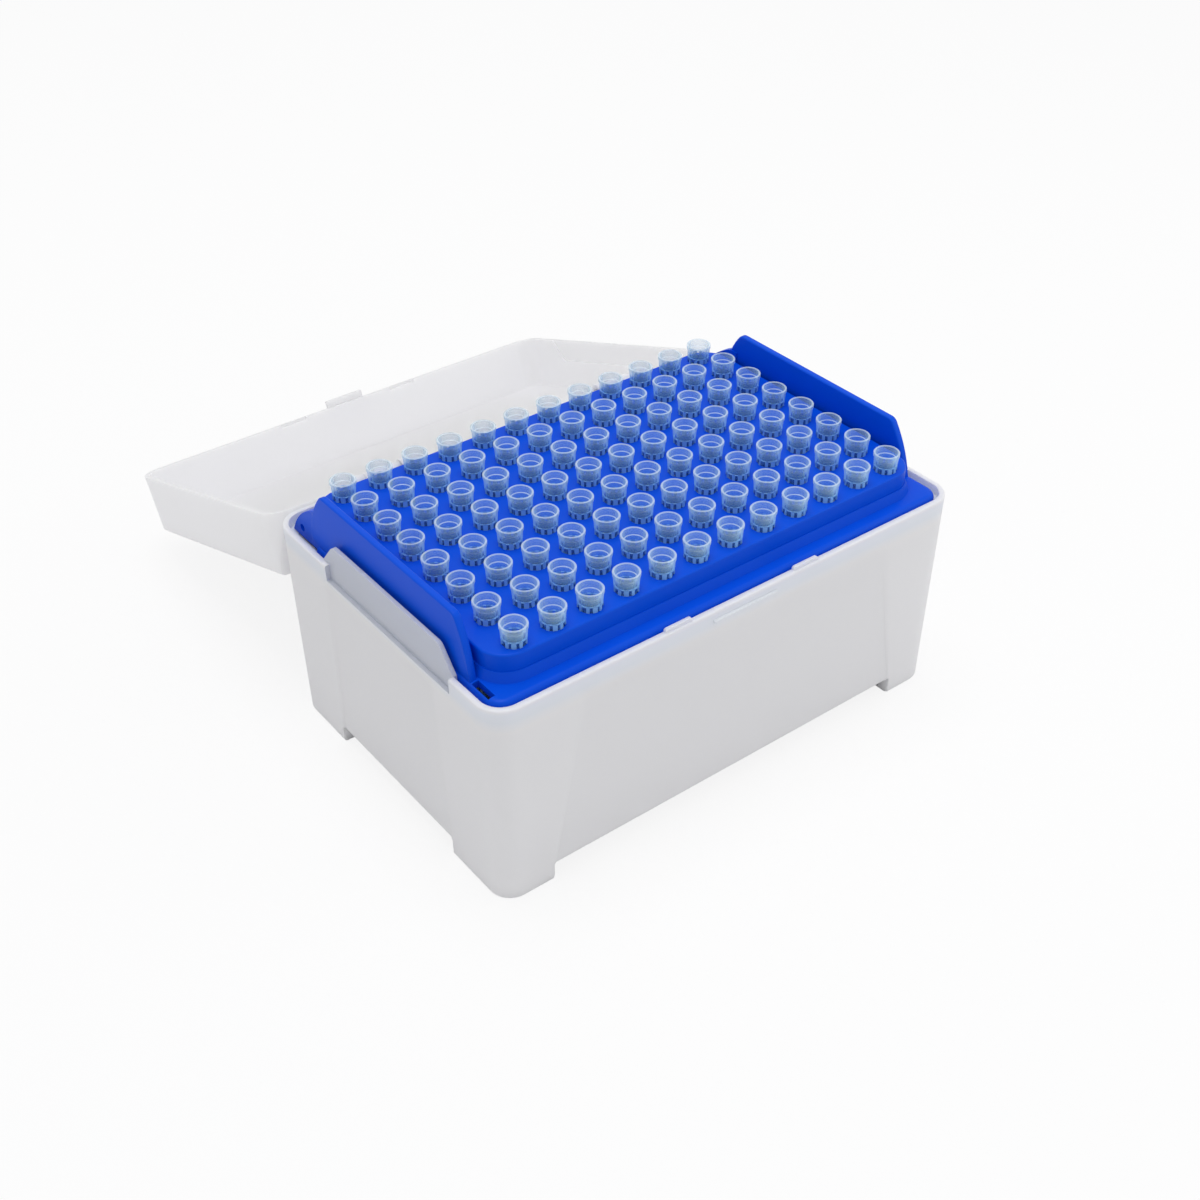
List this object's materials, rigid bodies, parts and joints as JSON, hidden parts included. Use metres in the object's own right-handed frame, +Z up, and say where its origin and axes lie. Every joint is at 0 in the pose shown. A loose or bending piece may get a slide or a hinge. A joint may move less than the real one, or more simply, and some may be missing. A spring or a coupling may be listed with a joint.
{
  "type": "box of pipette tips",
  "caption": "Frosted tub with a hinged lid swung right back, holding a blue perforated tray of hollow clear pipette tips in even rows.",
  "frame": {"origin": "centre of the tub's footprint, on the surface that its feet stand on", "axes": "+Z up, +Y from the latch side to the hinge side, +X along the long side of the tub"},
  "size_m": [0.124, 0.1667, 0.0639],
  "materials": {
    "tub": "frosted translucent polypropylene",
    "lid": "frosted translucent polypropylene",
    "tray": "satin blue polypropylene",
    "tips": "clear natural polypropylene"
  },
  "bodies": {
    "box": {"base": "tub", "tray": "tray", "tips_column_01": "tips", "tips_column_02": "tips", "tips_column_03": "tips", "tips_column_04": "tips", "tips_column_05": "tips", "tips_column_06": "tips", "tips_column_07": "tips", "tips_column_08": "tips", "tips_column_09": "tips", "tips_column_10": "tips", "tips_column_11": "tips", "tips_column_12": "tips"},
    "lid": {"lid": "lid"}
  },
  "joints": [
    {"name": "lid_hinge", "type": "hinge", "parent": "box", "child": "lid", "pos_m": [0, 0.0426, 0.0512], "axis": [1, 0, 0], "range_deg": [0, 200]}
  ]
}
